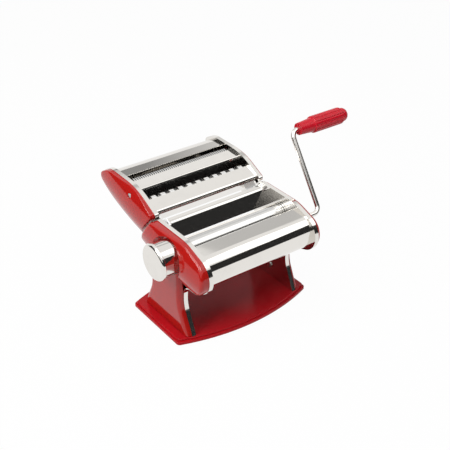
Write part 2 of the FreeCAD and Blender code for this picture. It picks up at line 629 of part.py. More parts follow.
def make_side_cover(name, side):
    body = new_body(f"{name}_side_cover")
    if side < 0:
        reveal, corner, wall, lens_out, leg_out = s.reveal, s.cover_corner, s.dome_wall, s.lens_out, s.leg_out
    else:
        reveal, corner, wall, lens_out, leg_out = (s.right_reveal, s.right_corner, s.cover_wall, s.right_out,
                                                   s.right_leg_out)
    lens = shifted(lens_outline(), reveal, least=corner)
    leg = shifted(leg_outline(), reveal)
    pad(body, s.rim_out, lens_out, closed(lens), side)
    if side < 0:
        dome(body, side, lens_out, (s.lens_mid_y, s.lens_mid_z), s.lens_lean, s.lens_dome)
        fillet(body, round_crest, s.lens_round)
    else:
        fillet(body, in_plane(lens_out * side), s.right_round)
    pad(body, s.rim_out, leg_out, closed(leg), side)
    fillet(body, in_plane(leg_out * side, s.crook_front_z), s.leg_round if side < 0 else s.right_leg_round)
    if side < 0:
        dish = new_sketch(body, "XZ", -s.shaft_y)
        low, high = leg_out * side, (lens_out + s.cut_over) * side
        outline(dish, [(low, s.shaft_z), (low, s.shaft_z + s.dish_radius),
                       (high, s.shaft_z + s.dish_mouth), (high, s.shaft_z)])
        groove(body, dish, [(low, s.shaft_z), (high, s.shaft_z)])
    for shape in (shifted(lens, wall), shifted(leg, s.cover_wall)):
        pocket(body, s.rim_out, s.floor_in, closed(shape), side)
    boss = round_hole(s.cover_screw_y, s.cover_screw_z, s.cover_boss_radius)
    pad(body, s.plate_out, leg_out - s.skin, boss, side)
    pilot = round_hole(s.cover_screw_y, s.cover_screw_z, s.screw_radius)
    pocket(body, s.plate_out, s.plate_in + s.cover_screw_length, pilot, side)
    if side < 0:
        pocket(body, s.floor_in, leg_out, round_hole(s.shaft_y, s.shaft_z, s.knob_hole_radius), side)
    else:
        pocket(body, s.floor_in, lens_out, round_hole(s.front_y, s.roller_z, s.crank_hole_radius), side)
        bearing = s.floor_in - s.bearing_height
        pad(body, bearing, s.floor_in, round_hole(s.shaft_y, s.shaft_z, s.bush_radius), side)
        pocket(body, bearing, lens_out - s.skin, round_hole(s.shaft_y, s.shaft_z, s.journal + s.run), side)


def make_cover_screws():
    body = new_body("cover_screws")
    head = s.plate_in - s.screw_head_height
    for _, side in SIDES:
        pad(body, head, s.plate_in, round_hole(s.cover_screw_y, s.cover_screw_z, s.screw_head_radius), side)
        shank = round_hole(s.cover_screw_y, s.cover_screw_z, s.screw_radius)
        pad(body, s.plate_in, s.plate_in + s.cover_screw_length, shank, side)


# Chrome sheets and tie rods of the body.

def across_body(label, draw):
    """A piece of one section from plate to plate."""
    body = new_body(label)
    pad(body, -s.plate_in, s.plate_in, draw)
    return body


def make_body_sheets():
    front = [(s.front_end_y, s.front_end_z), (s.front_chin_y, s.front_chin_z, s.front_chin_radius),
             (s.front_brow_y, s.front_brow_z, s.front_brow_radius), (s.front_lip_y, s.front_lip_z)]
    across_body("front_cover", closed(strip(front, -s.sheet)))
    feed = [(s.feed_foot_y, s.feed_foot_z), (s.feed_knee_y, s.feed_top_z, s.feed_knee_radius),
            (s.feed_lip_y, s.feed_top_z)]
    plate = across_body("feed_plate", closed(strip(feed, -s.sheet)))
    for _, side in SIDES:
        low, high, back = s.feed_top_z - s.feed_cut, s.feed_top_z + s.feed_cut, s.feed_lip_y + s.cut_over
        notch = [(s.feed_notch_y, low), (back, low), (back, high), (s.feed_notch_y, high)]
        pocket(plate, s.plate_in - s.feed_notch, s.plate_in + s.cut_over, closed(notch), side)

    def rods(sketch):
        circle(sketch, s.tie_front_y, s.tie_front_z, s.tie_radius)
        circle(sketch, s.tie_rear_y, s.tie_rear_z, s.tie_radius)

    across_body("tie_rods", rods)


def make_scrapers():
    """Thin blades that lie under the rollers and keep dough from going round with them."""
    along, down = sine(s.scraper_lean), cosine(s.scraper_lean)
    for label, axis_y, side in (("front_scraper", s.front_y, -1), ("rear_scraper", s.rear_y, 1)):
        reach = s.roller_radius + s.scraper_gap
        edge = (axis_y + reach * along * side, s.roller_z - reach * down)
        root = (edge[0] + s.scraper_drop * along * side, edge[1] - s.scraper_drop * down)
        across_body(label, closed(strip([edge, root], -s.sheet * side)))


# Rollers, shaft and gears.

def drive_socket(body, mouth, depth):
    """A round hole in a shaft's end with a slot across its mouth, which takes the crank's keyed tip."""
    pocket(body, mouth - depth, mouth, round_hole(0, 0, s.socket_radius))
    pocket(body, mouth - s.slot_depth, mouth, block(s.slot_length, s.slot_width))


def roller_side(end):
    """Half of a roller's outer line, from its end to its middle, with the groove near the end."""
    mark, floor = s.mark_x + s.mark_width, s.roller_radius - s.mark_depth
    line = [(s.roller_half, s.roller_radius), (mark, s.roller_radius), (mark, floor), (s.mark_x, floor),
            (s.mark_x, s.roller_radius)]
    return [(x * end, radius) for x, radius in line]


def make_front_roller():
    body = new_body("front_roller", s.front_y, s.roller_z, -s.crank_lean)
    end = s.drive_end_x
    revolve(body, [(-s.plate_out, 0), (end, 0), (end, s.front_journal), (s.roller_half, s.front_journal),
                   *roller_side(1), *roller_side(-1)[::-1],
                   (-s.roller_half, s.front_journal), (-s.plate_out, s.front_journal)])
    drive_socket(body, end, s.socket_depth)


def make_rear_roller():
    body = new_body("rear_roller", s.rear_y, s.roller_z)
    bore, end = s.bush_radius + s.run, s.gear_start + s.gear_face
    revolve(body, [(-s.roller_half, bore), (s.bush_far_x, bore), (s.bush_far_x, s.neck_bore),
                   (end, s.neck_bore), (end, s.neck_radius), (s.roller_half, s.neck_radius),
                   *roller_side(1), *roller_side(-1)[::-1]])


def make_shaft():
    body = new_body("eccentric_shaft")
    throat = s.plate_in + s.throat_gap
    inner = s.roller_half - s.end_gap
    pad(body, -inner, throat, round_hole(s.rear_y, s.roller_z, s.shaft_radius))
    pad(body, throat, s.right_out - s.shaft_end_gap, round_hole(s.shaft_y, s.shaft_z, s.journal))
    pad(body, inner, s.floor_in, round_hole(s.shaft_y, s.shaft_z, s.journal), -1)
    pad(body, s.floor_in, s.collar_x, block(s.knob_square, s.knob_square, s.shaft_y, s.shaft_z), -1)
    collar = round_hole(s.shaft_y, s.shaft_z, s.collar_radius)
    pad(body, s.collar_x, s.collar_x + s.collar_length, collar, -1)


def make_bushes():
    floating = new_body("floating_bushes")
    for _, side in SIDES:
        ring = ring_of(s.rear_y, s.roller_z, s.bush_radius, s.shaft_radius + s.run)
        pad(floating, s.bush_near_x, s.bush_far_x - s.end_gap, ring, side)
    fixed = new_body("roller_bushes")
    start, stop = s.roller_half + s.bush_gap, s.plate_out + s.bush_stand
    for _, side in SIDES:
        ring = ring_of(s.front_y, s.roller_z, s.plate_bush_radius, s.front_journal + s.run)
        pad(fixed, start, stop, ring, side)
    shaft_ring = ring_of(s.shaft_y, s.shaft_z, s.shaft_bush_radius, s.journal + s.run)
    pad(fixed, start, stop, shaft_ring, -1)


def tooth(tip, root, tip_width, root_width, turn):
    """One tapered tooth that points along the direction given by turn, in degrees from +Y."""
    sunk = root - root_width / 4
    spots = [(sunk, -root_width / 2), (tip, -tip_width / 2), (tip, tip_width / 2), (sunk, root_width / 2)]
    ahead, aside = cosine(turn), sine(turn)
    return closed([(out * ahead - wide * aside, out * aside + wide * ahead) for out, wide in spots])


def make_gear(label, y, z, bore, near, far, tip, root, tip_width, root_width, teeth, turn):
    body = new_body(label, y, z)
    pad(body, near, far, round_hole(0, 0, root))
    first = pad(body, near, far, tooth(tip, root, tip_width, root_width, turn))
    ring_pattern(body, first, teeth)
    pocket(body, near, far, round_hole(0, 0, bore))


def make_roller_gears():
    far = s.gear_start + s.gear_face
    form = (s.gear_start, far, s.gear_tip, s.gear_root, s.gear_tooth_tip, s.gear_tooth_root, s.gear_teeth)
    make_gear("front_gear", s.front_y, s.roller_z, s.front_journal + s.run, *form, 0)
    make_gear("rear_gear", s.rear_y, s.roller_z, s.neck_radius + s.run, *form, 180 - 180 / s.gear_teeth)


# Crank.

def make_crank():
    body = new_body("crank_rod", s.front_y, s.roller_z, -s.crank_lean)
    start = s.drive_end_x
    path = new_sketch(body, "XZ")
    spindle = s.crank_x + s.grip_start + s.grip_nose + s.grip_body
    spots = [(start, size(0)), (s.crank_x - s.crank_bend, size(0)), (s.crank_x, s.crank_bend),
             (s.crank_x, s.crank_arm - s.crank_bend), (s.crank_x + s.crank_bend, s.crank_arm),
             (spindle, s.crank_arm)]
    points = [FreeCAD.Vector(x.value, z.value, 0) for x, z in spots]
    lines = [path.addGeometry(Part.LineSegment(points[i], points[i + 1])) for i in (0, 2, 4)]
    bend = s.crank_bend.value
    up = FreeCAD.Vector(0, 0, 1)
    side = FreeCAD.Vector(0, bend, 0)
    low = Part.ArcOfCircle(Part.Circle(points[1] + side, up, bend), -math.pi / 2, 0)
    high = Part.ArcOfCircle(Part.Circle(points[4] - side, up, bend), math.pi / 2, math.pi)
    arcs = [path.addGeometry(low), path.addGeometry(high)]
    for join in ((lines[0], 2, arcs[0], 1), (arcs[0], 2, lines[1], 1), (lines[1], 2, arcs[1], 2),
                 (arcs[1], 1, lines[2], 1)):
        path.addConstraint(Sketcher.Constraint("Tangent", *join))
    pin(path, lines[0], 1, *spots[0])
    pin(path, lines[2], 2, *spots[5])
    path.addConstraint(Sketcher.Constraint("Horizontal", lines[0]))
    path.addConstraint(Sketcher.Constraint("Horizontal", lines[2]))
    path.addConstraint(Sketcher.Constraint("Vertical", lines[1]))
    bind(path, "DistanceX", -1, 1, lines[1], 1, s.crank_x)
    bind(path, "Radius", arcs[0], s.crank_bend)
    bind(path, "Radius", arcs[1], s.crank_bend)
    section = new_sketch(body, "YZ", start)
    circle(section, 0, 0, s.rod_radius)
    pipe = body.newObject("PartDesign::AdditivePipe", "crank_rod_pipe")
    pipe.Profile = section
    pipe.Spine = (path, [])
    pad(body, start - s.socket_depth + s.socket_room, start, round_hole(0, 0, s.socket_radius - s.run))
    key = block(s.slot_length - s.slide_gap, s.slot_width - s.slide_gap)
    pad(body, start - s.slot_depth + s.end_gap, start, key)


def make_grip():
    axis_y = s.front_y + s.crank_arm * sine(s.crank_lean)
    axis_z = s.roller_z + s.crank_arm * cosine(s.crank_lean)
    body = new_body("crank_grip", axis_y, axis_z)
    nose = s.crank_x + s.grip_start
    ribs = nose + s.grip_nose
    cap = ribs + s.grip_body
    bore = s.rod_radius + s.run
    revolve(body, [(nose, bore), (cap, bore), (cap, s.grip_radius, s.grip_round),
                   (ribs, s.grip_radius, s.grip_round), (ribs - s.nose_step, s.nose_large, s.nose_round),
                   (nose, s.nose_small)])
    flute_z = s.grip_radius + s.flute_radius - s.flute_sink
    flute = pocket(body, ribs - s.cut_over, cap, round_hole(0, flute_z, s.flute_radius))
    ring_pattern(body, flute, s.flute_count)
    end = new_body("grip_end_cap", axis_y, axis_z)
    near, far = cap + s.end_gap, cap + s.grip_cap
    revolve(end, [(near, 0), (far, 0), (far, s.cap_radius, s.grip_cap_round), (near, s.cap_radius)])


# Thickness knob.

def make_knob():
    hub = new_body("knob_hub", s.shaft_y, s.shaft_z)
    inner, disc = s.leg_out + s.knob_gap, s.knob_face_x - s.knob_disc
    revolve(hub, [(-disc, s.knob_cavity_radius), (-s.web_end_x, s.knob_cavity_radius),
                  (-s.web_end_x, s.knob_square), (-s.web_start_x, s.knob_square),
                  (-s.web_start_x, s.knob_cavity_radius), (-inner, s.knob_cavity_radius),
                  (-inner, s.barrel_radius, s.barrel_round), (-disc, s.barrel_radius)])
    pad(hub, s.web_start_x, s.web_end_x, round_hole(0, 0, s.knob_cavity_radius), -1)
    hole = s.knob_square + 2 * s.run
    pocket(hub, s.web_start_x, s.web_end_x, block(hole, hole), -1)
    face = new_body("knob_cap", s.shaft_y, s.shaft_z)
    revolve(face, [(-s.knob_face_x, 0), (-disc, 0), (-disc, s.knob_radius, s.knob_edge),
                   (-s.knob_face_x, s.knob_radius, s.knob_round)])
    pin_y = s.shaft_y + s.pin_ring * sine(s.half_turn)
    pin_z = s.shaft_z + s.pin_ring * cosine(s.half_turn)
    pocket(hub, inner, s.web_end_x, round_hole(pin_y - s.shaft_y, pin_z - s.shaft_z, s.pin_radius), -1)
    detent = new_body("detent_pin")
    pad(detent, s.pin_end_x, s.web_end_x, round_hole(pin_y, pin_z, s.pin_radius), -1)
    spring = new_body("knob_spring")
    ring = ring_of(s.shaft_y, s.shaft_z, s.spring_radius, s.spring_radius - s.spring_wall)
    pad(spring, s.web_end_x, s.collar_x, ring, -1)


def make_index_plate():
    """A disc inside the left cover with a notched slot for the knob's pin."""
    body = new_body("index_plate", s.shaft_y, s.shaft_z)
    near = s.floor_in - s.index_sheet
    pad(body, near, s.floor_in, ring_of(0, 0, s.index_radius, s.journal + s.shaft_room), -1)
    step = s.turn_range / (s.index_notches - 1)
    room = s.pin_radius + s.slide_gap
    for notch in range(int(s.index_notches.value)):
        turn = s.half_turn - step * notch
        spot = round_hole(s.pin_ring * sine(turn), s.pin_ring * cosine(turn), room)
        pocket(body, near, s.floor_in, spot, -1)
    slot = new_sketch(body, "YZ", -near)
    inner, outer = s.pin_ring - s.pin_radius - s.slide_gap / 2, s.pin_ring + s.pin_radius + s.slide_gap / 2
    ends = [90 - s.half_turn.value, 90 + s.half_turn.value]
    arcs = []
    for radius in (inner, outer):
        ring = Part.Circle(FreeCAD.Vector(), FreeCAD.Vector(0, 0, 1), radius.value)
        arcs.append(slot.addGeometry(Part.ArcOfCircle(ring, *[math.radians(end) for end in ends])))
    sides = []
    for point, turn in ((1, s.half_turn), (2, -s.half_turn)):
        spots = [(radius * sine(turn), radius * cosine(turn)) for radius in (inner, outer)]
        line = Part.LineSegment(*[FreeCAD.Vector(y.value, z.value, 0) for y, z in spots])
        sides.append(slot.addGeometry(line))
        for end, arc in enumerate(arcs):
            slot.addConstraint(Sketcher.Constraint("Coincident", sides[-1], end + 1, arc, point))
            pin(slot, sides[-1], end + 1, *spots[end])
    for arc, radius in zip(arcs, (inner, outer)):
        bind(slot, "Radius", arc, radius)
    feature(body, "Pocket", slot, s.index_sheet, False)


# Cutter head.

FINE = ("fine", s.fine_y, s.fine_z, s.fine_pitch, s.fine_land, s.fine_count)
WIDE = ("wide", s.wide_y, s.wide_z, s.wide_pitch, s.wide_land, s.wide_count)


def cutter_axes():
    """Each pair of cutters leans, with the rear one lower."""
    back, drop = s.cutter_span * cosine(s.cutter_tilt), s.cutter_span * sine(s.cutter_tilt)
    for kind, y, z, *_ in (FINE, WIDE):
        yield f"{kind}_front", y, z
        yield f"{kind}_rear", y + back, z - drop


def cap_levels(side):
    """Reveal, cavity floor, screw seat and outer face of a head cap, of which the right one is shallow."""
    if side < 0:
        return s.reveal, s.cap_floor, s.cap_seat_x, s.cap_out
    return s.right_cap_reveal, s.right_cap_floor, s.right_cap_seat_x, s.right_cap_out


def make_head_sides():
    for name, side in SIDES:
        plate = new_body(f"head_{name}_plate")
        pad(plate, s.plate_in, s.rim_out, closed(head_outline()), side)
        pocket(plate, s.plate_out, s.rim_out + s.cut_over, closed(shifted(head_outline(), s.rim_wall)), side)
        for _, y, z in cutter_axes():
            pocket(plate, s.plate_in, s.plate_out, round_hole(y, z, s.cutter_bush_radius), side)
        cap = new_body(f"head_{name}_cap")
        reveal, floor, seat, out = cap_levels(side)
        rim = shifted(head_outline(), reveal, least=s.cap_corner)
        pad(cap, s.rim_out, out, closed(rim), side)
        if side < 0:
            dome(cap, side, out, (s.cap_mid_y, s.cap_mid_z), s.cap_lean, s.cap_dome)
            fillet(cap, round_crest, s.cap_round)
        else:
            fillet(cap, in_plane(out * side), s.right_cap_round)
        pocket(cap, s.rim_out, floor, closed(shifted(rim, s.cap_wall, least=s.cap_round)), side)
        pilot = round_hole(s.cap_screw_y, s.cap_screw_z, s.screw_radius + s.run)
        pocket(cap, floor, out, pilot, side)
        sunk = round_hole(s.cap_screw_y, s.cap_screw_z, s.cap_screw_radius + s.slide_gap)
        pocket(cap, seat, out, sunk, side)
        if side > 0:
            for label, y, z in cutter_axes():
                if label.endswith("front"):
                    pocket(cap, floor, out, round_hole(y, z, s.socket_hole_radius), side)


def make_cap_screws():
    """One screw, sunk in its face, holds each cap to the plate behind it."""
    body = new_body("cap_screws")
    for _, side in SIDES:
        _, _, seat, _ = cap_levels(side)
        pad(body, s.plate_out, seat, round_hole(s.cap_screw_y, s.cap_screw_z, s.screw_radius), side)
        head = round_hole(s.cap_screw_y, s.cap_screw_z, s.cap_screw_radius)
        pad(body, seat, seat + s.cap_screw_head, head, side)


def make_head_sheets():
    tail = shifted([(s.head_belly_y, s.head_belly_z, s.head_belly_radius),
                    (s.head_tail_y, s.head_tail_z, s.head_tail_radius),
                    (s.head_crown_y, s.head_crown_z, s.head_crown_radius),
                    (s.head_top_y, s.head_top_z, s.head_top_radius)], s.head_inset, closed=False)
    rear = [(s.rear_end_y, s.rear_end_z), tail[1], tail[2], (s.rear_sheet_y, s.rear_sheet_z)]
    across_body("head_rear_sheet", closed(strip(rear, s.sheet)))
    middle = [(s.mid_rear_y, s.mid_rear_z), (s.mid_front_y, s.mid_front_z, s.mid_lip_radius),
              (s.mid_front_y - s.mid_lip_lean, s.mid_front_z - s.mid_lip)]
    across_body("head_middle_sheet", closed(strip(middle, s.sheet)))
    climb = (s.mid_rear_z - s.mid_front_z) / (s.mid_rear_y - s.mid_front_y)
    top = s.mid_front_z + (s.tie_2_y - s.mid_front_y) * climb - s.sheet - s.end_gap
    foot = s.tie_2_z + s.head_tie_radius + s.end_gap
    partition = block(s.sheet, top - foot, s.tie_2_y, (top + foot) / 2)
    across_body("head_partition", partition)
    slope_y, slope_z = cosine(s.slope), sine(s.slope)
    back = s.head_gap + s.head_inset
    knee = (s.rear_top_y + back * slope_z, s.top_z + back * slope_y, s.front_knee_radius)
    hem = (knee[0] + s.front_sheet_drop * slope_y, knee[1] - s.front_sheet_drop * slope_z)
    front = [(s.front_sheet_y, s.front_sheet_z), knee, hem]
    across_body("head_front_sheet", closed(strip(front, s.sheet)))


def make_head_ties():
    def rods(sketch):
        for y, z in ((s.tie_1_y, s.tie_1_z), (s.tie_2_y, s.tie_2_z), (s.tie_3_y, s.tie_3_z)):
            circle(sketch, y, z, s.head_tie_radius)
    across_body("head_tie_rods", rods)


def make_cutters(kind, _front_y, _front_z, pitch, land, count):
    axes = {label: (y, z) for label, y, z in cutter_axes()}
    for end, lands in (("front", count), ("rear", count + 1)):
        y, z = axes[f"{kind}_{end}"]
        body = new_body(f"{kind}_{end}_cutter", y, z)
        stub = s.gear_start + s.cutter_gear_face
        pad(body, -s.cutter_half, s.cutter_half, round_hole(0, 0, s.cutter_core))
        pad(body, s.cutter_half, s.plate_out, round_hole(0, 0, s.cutter_journal), -1)
        pad(body, s.cutter_half, stub, round_hole(0, 0, s.cutter_journal))
        first = -pitch * (lands - 1) / 2 - land / 2
        row_pattern(body, pad(body, first, first + land, round_hole(0, 0, s.cutter_radius)), pitch, lands)
        if end == "front":
            pad(body, stub, s.cutter_end_x, round_hole(0, 0, s.cutter_socket_radius))
            drive_socket(body, s.cutter_end_x, s.cutter_bore_depth)
        make_comb(kind, end, y, z, pitch, land, lands)
        gear = (s.gear_start, stub, s.cutter_gear_tip, s.cutter_gear_root, s.cutter_tooth_tip,
                s.cutter_tooth_root, s.cutter_gear_teeth)
        turn = -s.cutter_tilt if end == "front" else 180 - s.cutter_tilt - 180 / s.cutter_gear_teeth
        make_gear(f"{kind}_{end}_gear", y, z, s.cutter_journal + s.run, *gear, turn)


def make_comb(kind, end, y, z, pitch, land, lands):
    """A strip under a cutter whose teeth stand in its grooves and lift the pasta out."""
    body = new_body(f"{kind}_{end}_comb")
    top = z - s.cutter_radius - s.comb_gap
    half = s.comb_sheet / 2
    bar = [(y - half, top - s.comb_bar), (y + half, top - s.comb_bar), (y + half, top), (y - half, top)]
    pad(body, -s.plate_in, s.plate_in, closed(bar))
    groove = pitch - land
    reach = z - s.cutter_core - s.comb_gap
    prong = [(y - half, top), (y + half, top), (y + half, reach), (y - half, reach)]
    first = -pitch * (lands - 2) / 2 - groove / 2 + s.comb_side
    row = pad(body, first, first + groove - 2 * s.comb_side, closed(prong))
    row_pattern(body, row, pitch, lands - 1)


def make_head_bushes():
    body = new_body("head_bushes")
    for _, side in SIDES:
        for _, y, z in cutter_axes():
            ring = ring_of(y, z, s.cutter_bush_radius, s.cutter_journal + s.run)
            pad(body, s.plate_in, s.plate_out + s.bush_stand, ring, side)


# Guides in the body and hooks on the head, drawn along the leaning rear edge of the body.

def make_head_guides():
    lean = 90 - s.slope
    guide = new_body("head_guides", s.rear_top_y, s.top_z, lean)
    hooks = new_body("head_hooks", s.rear_top_y, s.top_z, lean)
    gap = s.slide_gap
    hook_out = s.plate_in - gap
    hook_in = hook_out - s.hook_width
    web_low = (hook_out + hook_in) / 2 - s.hook_web / 2
    web_high = web_low + s.hook_web
    slot_in, slot_front, slot_rear = hook_in - gap, s.hook_front - gap, s.hook_rear + gap
    slot_out, block_in = s.plate_in - s.end_gap, slot_in - s.guide_wall
    floor_top = s.guide_low + s.guide_floor
    behind = s.head_gap + s.head_inset
    for _, side in SIDES:
        channel = [(s.plate_in, s.guide_front), (s.plate_in, s.guide_rear), (web_high + gap, s.guide_rear),
                   (web_high + gap, slot_rear), (slot_out, slot_rear), (slot_out, slot_front),
                   (slot_in, slot_front), (slot_in, slot_rear), (web_low - gap, slot_rear),
                   (web_low - gap, s.guide_rear), (block_in, s.guide_rear), (block_in, s.guide_front)]
        block = [(s.plate_in, s.guide_front), (s.plate_in, s.guide_rear), (block_in, s.guide_rear),
                 (block_in, s.guide_front)]
        hook = [(hook_in, s.hook_front), (hook_out, s.hook_front), (hook_out, s.hook_rear),
                (web_high, s.hook_rear), (web_high, behind), (web_low, behind), (web_low, s.hook_rear),
                (hook_in, s.hook_rear)]
        for body, low, high, shape in ((guide, s.guide_low, floor_top, block),
                                       (guide, floor_top, s.guide_high, channel),
                                       (hooks, floor_top + s.end_gap, s.guide_high, hook)):
            placed = [(across * side, up) for across, up in shape]
            pad(body, low, high, closed(placed), plane="XY")


def build():
    make_base()
    for name, side in SIDES:
        make_side_plate(name, side)
        make_side_cover(name, side)
    make_cover_screws()
    make_body_sheets()
    make_scrapers()
    make_front_roller()
    make_rear_roller()
    make_shaft()
    make_bushes()
    make_roller_gears()
    make_crank()
    make_grip()
    make_knob()
    make_index_plate()
    make_head_sides()
    make_cap_screws()
    make_head_sheets()
    make_head_ties()
    make_cutters(*FINE)
    make_cutters(*WIDE)
    make_head_bushes()
    make_head_guides()
    DOC.recompute()


def write():
    """Checks every object, then writes one file for each sub-part."""
    faults = [f"{item.Name}: {', '.join(item.State)}" for item in DOC.Objects
              if "Invalid" in item.State or "Error" in item.State]
    for label, body in PARTS.items():
        if body.Shape.isNull() or not body.Shape.isValid():
            faults.append(f"{label}: no valid shape")
    if faults:
        raise RuntimeError("\n".join(faults))
    os.makedirs("parts", exist_ok=True)
    for label, body in PARTS.items():
        body.Shape.exportStep(f"parts/{label}.step")
        print(f"{label}: {len(body.Shape.Solids)} solids, {body.Shape.Volume:.1f} mm3")


build()
write()
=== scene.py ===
import json
import math

import bpy
from bpy.props import FloatProperty, FloatVectorProperty, PointerProperty
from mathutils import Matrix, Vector


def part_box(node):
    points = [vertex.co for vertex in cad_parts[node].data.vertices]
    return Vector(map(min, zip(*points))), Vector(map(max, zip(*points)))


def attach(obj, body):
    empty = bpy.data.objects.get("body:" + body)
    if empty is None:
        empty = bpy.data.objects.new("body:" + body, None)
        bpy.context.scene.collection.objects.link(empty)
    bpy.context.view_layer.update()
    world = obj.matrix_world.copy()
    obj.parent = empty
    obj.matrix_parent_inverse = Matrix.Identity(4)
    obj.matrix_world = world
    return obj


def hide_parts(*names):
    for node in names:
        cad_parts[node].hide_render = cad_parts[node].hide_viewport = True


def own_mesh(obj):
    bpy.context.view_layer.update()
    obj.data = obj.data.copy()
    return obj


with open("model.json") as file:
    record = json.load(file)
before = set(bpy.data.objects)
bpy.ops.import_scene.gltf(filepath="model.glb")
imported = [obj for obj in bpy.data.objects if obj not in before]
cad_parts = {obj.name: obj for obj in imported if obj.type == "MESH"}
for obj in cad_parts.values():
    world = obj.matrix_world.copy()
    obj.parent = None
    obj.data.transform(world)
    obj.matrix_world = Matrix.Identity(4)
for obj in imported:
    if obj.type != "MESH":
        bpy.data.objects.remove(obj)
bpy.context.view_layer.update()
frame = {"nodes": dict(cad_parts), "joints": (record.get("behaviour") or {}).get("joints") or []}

bl_info = {
    "name": "Pasta roller machine",
    "version": (1, 0, 0),
    "blender": (4, 5, 0),
    "location": "3D View > Sidebar > Pasta machine",
    "description": "Finishes the packed pasta roller machine and sets it on a white studio sweep",
    "category": "Object",
}

# Edges of the walls and cards round the machine. Each row gives degrees round from the machine's right,
# then the lower and the upper height in degrees.
ROOM_EDGE = ((118, 0, 36), (158, 0, 36), (166, 0, 18), (232, 0, 18), (237, 0, 36), (352, 0, 36))
FLAG_EDGE = ((-8, 0, 58), (118, 0, 58))
CARD_EDGE = ((46, 25, 32), (80, 25, 32))
SCREEN_EDGE = ((22, 44.5, 51.4), (62, 44.5, 51.4))
# Degrees round at which a card's grey begins to fade, and at which it has become white.
FADES = {"grey_card": (63, 48), "screen": (34, 22)}
FLAG_REACH = 1.1  # distance of the flag behind the machine, as a share of the wall's

# Name, place in metres, width in metres and power in watts of each square lamp, and the point they face.
LAMPS = (
    ("overhead", (-0.5, 0.22, 1.55), 0.7, 5.0),
    ("left_box", (-1.25, 0.15, 1.2), 0.8, 10.0),
    ("right_box", (0.75, -0.5, 1.15), 0.8, 1.5),
    ("front_box", (-0.45, -0.7, 1.7), 0.8, 13.0),
)
LAMP_AIM = (0, 0, 0.1)

SENSOR_WIDTH = 36  # mm
COIL_STEPS = 24  # sections in each turn of the spring's wire
WIRE_SIDES = 10
RING_STRETCH = (1, 0.02, 0.02)  # draws a noise out into rings round the X axis
LAND_START, LAND_FULL = 0.86, 0.97  # shares of a cutter's radius between which the painted shade of its grooves gives way to the lands


def colour(name, text, default):
    return FloatVectorProperty(name=name, description=text, subtype="COLOR", size=3, min=0, max=1,
                               default=default)


def length(name, text, default):
    return FloatProperty(name=name, description=text, unit="LENGTH", default=default)


def share(name, text, default):
    return FloatProperty(name=name, description=text, subtype="FACTOR", min=0, max=1, default=default)


class PastaFinish(bpy.types.PropertyGroup):
    """Colours and surface values of the machine's finishes."""
    gloss_red: colour("Gloss red", "Lacquer of the side covers and head caps", (0.50, 0.012, 0.009))
    base_red: colour("Base red", "Enamel of the base", (0.52, 0.008, 0.014))
    grip_red: colour("Grip red", "Moulded plastic of the crank's grip", (0.67, 0.013, 0.029))
    chrome: colour("Chrome", "Polished plating of the sheets", (0.78, 0.755, 0.715))
    steel: colour("Roller steel", "Ground steel of the rollers and combs", (0.72, 0.71, 0.69))
    zinc: colour("Zinc", "Plating of the fixings, blades and guides, and the spring", (0.58, 0.58, 0.57))
    land: colour("Land steel", "Polished rims of the cutters", (0.92, 0.91, 0.89))
    # Painted shade: this darker copy of the land steel colours the floors of the cutters' grooves, where
    # shade falls between the lands.
    groove_shade: colour("Groove steel", "Dull floors between the cutters' lands", (0.60, 0.59, 0.57))
    gear: colour("Gear steel", "Oiled steel of the gears", (0.36, 0.355, 0.35))
    nylon: colour("Nylon", "Dark plastic of the bushes", (0.035, 0.035, 0.038))
    rubber: colour("Rubber", "Feet under the base", (0.02, 0.02, 0.021))
    # Painted shade: a near-black partition that darkens the inside of the cutter head.
    partition_shade: colour("Blackened sheet", "Partition inside the cutter head", (0.016, 0.015, 0.014))
    smear: share("Smear", "How far handling marks dull the chrome", 0.045)
    peel: share("Lacquer ripple", "Depth of the faint ripple in the lacquer", 0.012)


class PastaSpring(bpy.types.PropertyGroup):
    """Wire of the spring inside the knob."""
    wire: length("Wire", "Thickness of the spring's wire", 0.0011)
    turns: FloatProperty(name="Turns", description="Turns of the coil from end to end", min=1,
                         default=3.5)


class PastaStage(bpy.types.PropertyGroup):
    """Camera, floor, room and cards."""
    aim: FloatVectorProperty(name="Aim", description="Point that the camera looks at",
                             subtype="TRANSLATION", unit="LENGTH", size=3, default=(0.015, 0.011, 0.099))
    turn: FloatProperty(name="Turn", description="Camera's turn to the left of the front", subtype="ANGLE",
                        default=math.radians(36.4))
    rise: FloatProperty(name="Rise", description="Camera's height over the horizon", subtype="ANGLE",
                        default=math.radians(31.5))
    distance: length("Distance", "From the camera to the point it looks at", 1.098)
    lens: FloatProperty(name="Lens", description="Focal length on a 36 mm wide sensor", unit="CAMERA",
                        default=70.0)
    floor: length("Floor", "Half the width of the floor", 6.0)
    white: share("Floor white",
                 "How much of the floor's white is its own, which leaves the rest to shadow", 0.97)
    wall: length("Room wall", "Distance of the dark wall and the cards from the machine", 1.7)
    ambient: share("Ambient", "Strength of the room's light on surfaces that don't mirror it", 0.18)
    paper: share("Paper tone", "Grey of the floor where light falls on it", 0.9)
    room: share("Room tone", "How dark the room behind the camera is", 0.035)
    screen: share("Screen tone", "Pale grey of the screen high behind the machine", 0.62)
    card: share("Card tone", "Grey of the card behind the machine at its darker end", 0.32)


class Wire:
    """A shader output on which Python's own arithmetic adds Math nodes."""

    def __init__(self, finish, socket):
        self.finish = finish
        self.socket = socket

    def _math(self, operation, first, second):
        return self.finish.node("ShaderNodeMath", {"operation": operation}, {0: first, 1: second})

    def __add__(self, other):
        return self._math("ADD", self, other)

    __radd__ = __add__

    def __mul__(self, other):
        return self._math("MULTIPLY", self, other)

    __rmul__ = __mul__

    def __sub__(self, other):
        return self._math("SUBTRACT", self, other)

    def __rsub__(self, other):
        return self._math("SUBTRACT", other, self)

    def __pow__(self, other):
        return self._math("POWER", self, other)


